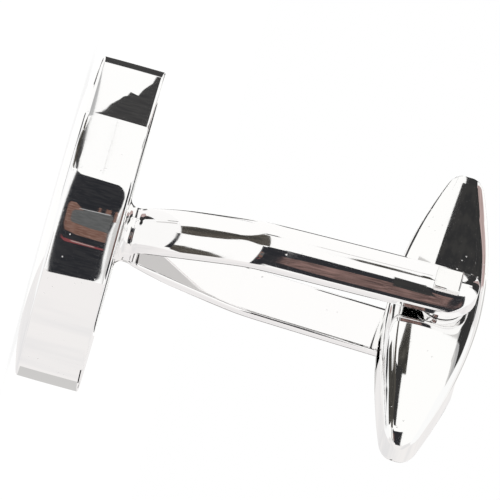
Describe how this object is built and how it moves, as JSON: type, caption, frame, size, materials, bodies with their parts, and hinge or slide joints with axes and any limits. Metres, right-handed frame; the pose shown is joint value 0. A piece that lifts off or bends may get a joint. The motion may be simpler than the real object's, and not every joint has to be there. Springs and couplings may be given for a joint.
{
  "type": "cufflink",
  "caption": "Round-headed cufflink with a wishbone fork and a torpedo toggle that swivels on a square pin to lock behind the cuff.",
  "frame": {"origin": "centre of the head's front face, on which the part stands", "axes": "+Z along the post from the head to the toggle, X along the open toggle, Y along the pivot pin"},
  "size_m": [0.019, 0.018, 0.024],
  "materials": {
    "polished_plate": "mirror polished",
    "braze": "plated, slightly wavy",
    "cast_plate": "tumbled and plated, finely pitted",
    "pin_plate": "plated over riveted steel",
    "toggle_plate": "mirror polished, finely pitted",
    "spring_steel": "blue-grey rolled strip"
  },
  "bodies": {
    "root": {"head": "polished_plate", "braze_ring": "braze", "fork": "cast_plate", "pivot_pin": "pin_plate"},
    "toggle": {"toggle": "toggle_plate", "detent_spring": "spring_steel"}
  },
  "joints": [
    {"name": "toggle_swivel", "type": "hinge", "parent": "root", "child": "toggle", "pos_m": [0, 0, 0.02175], "axis": [0, 1, 0], "continuous": true, "deforming": ["detent_spring"]}
  ]
}
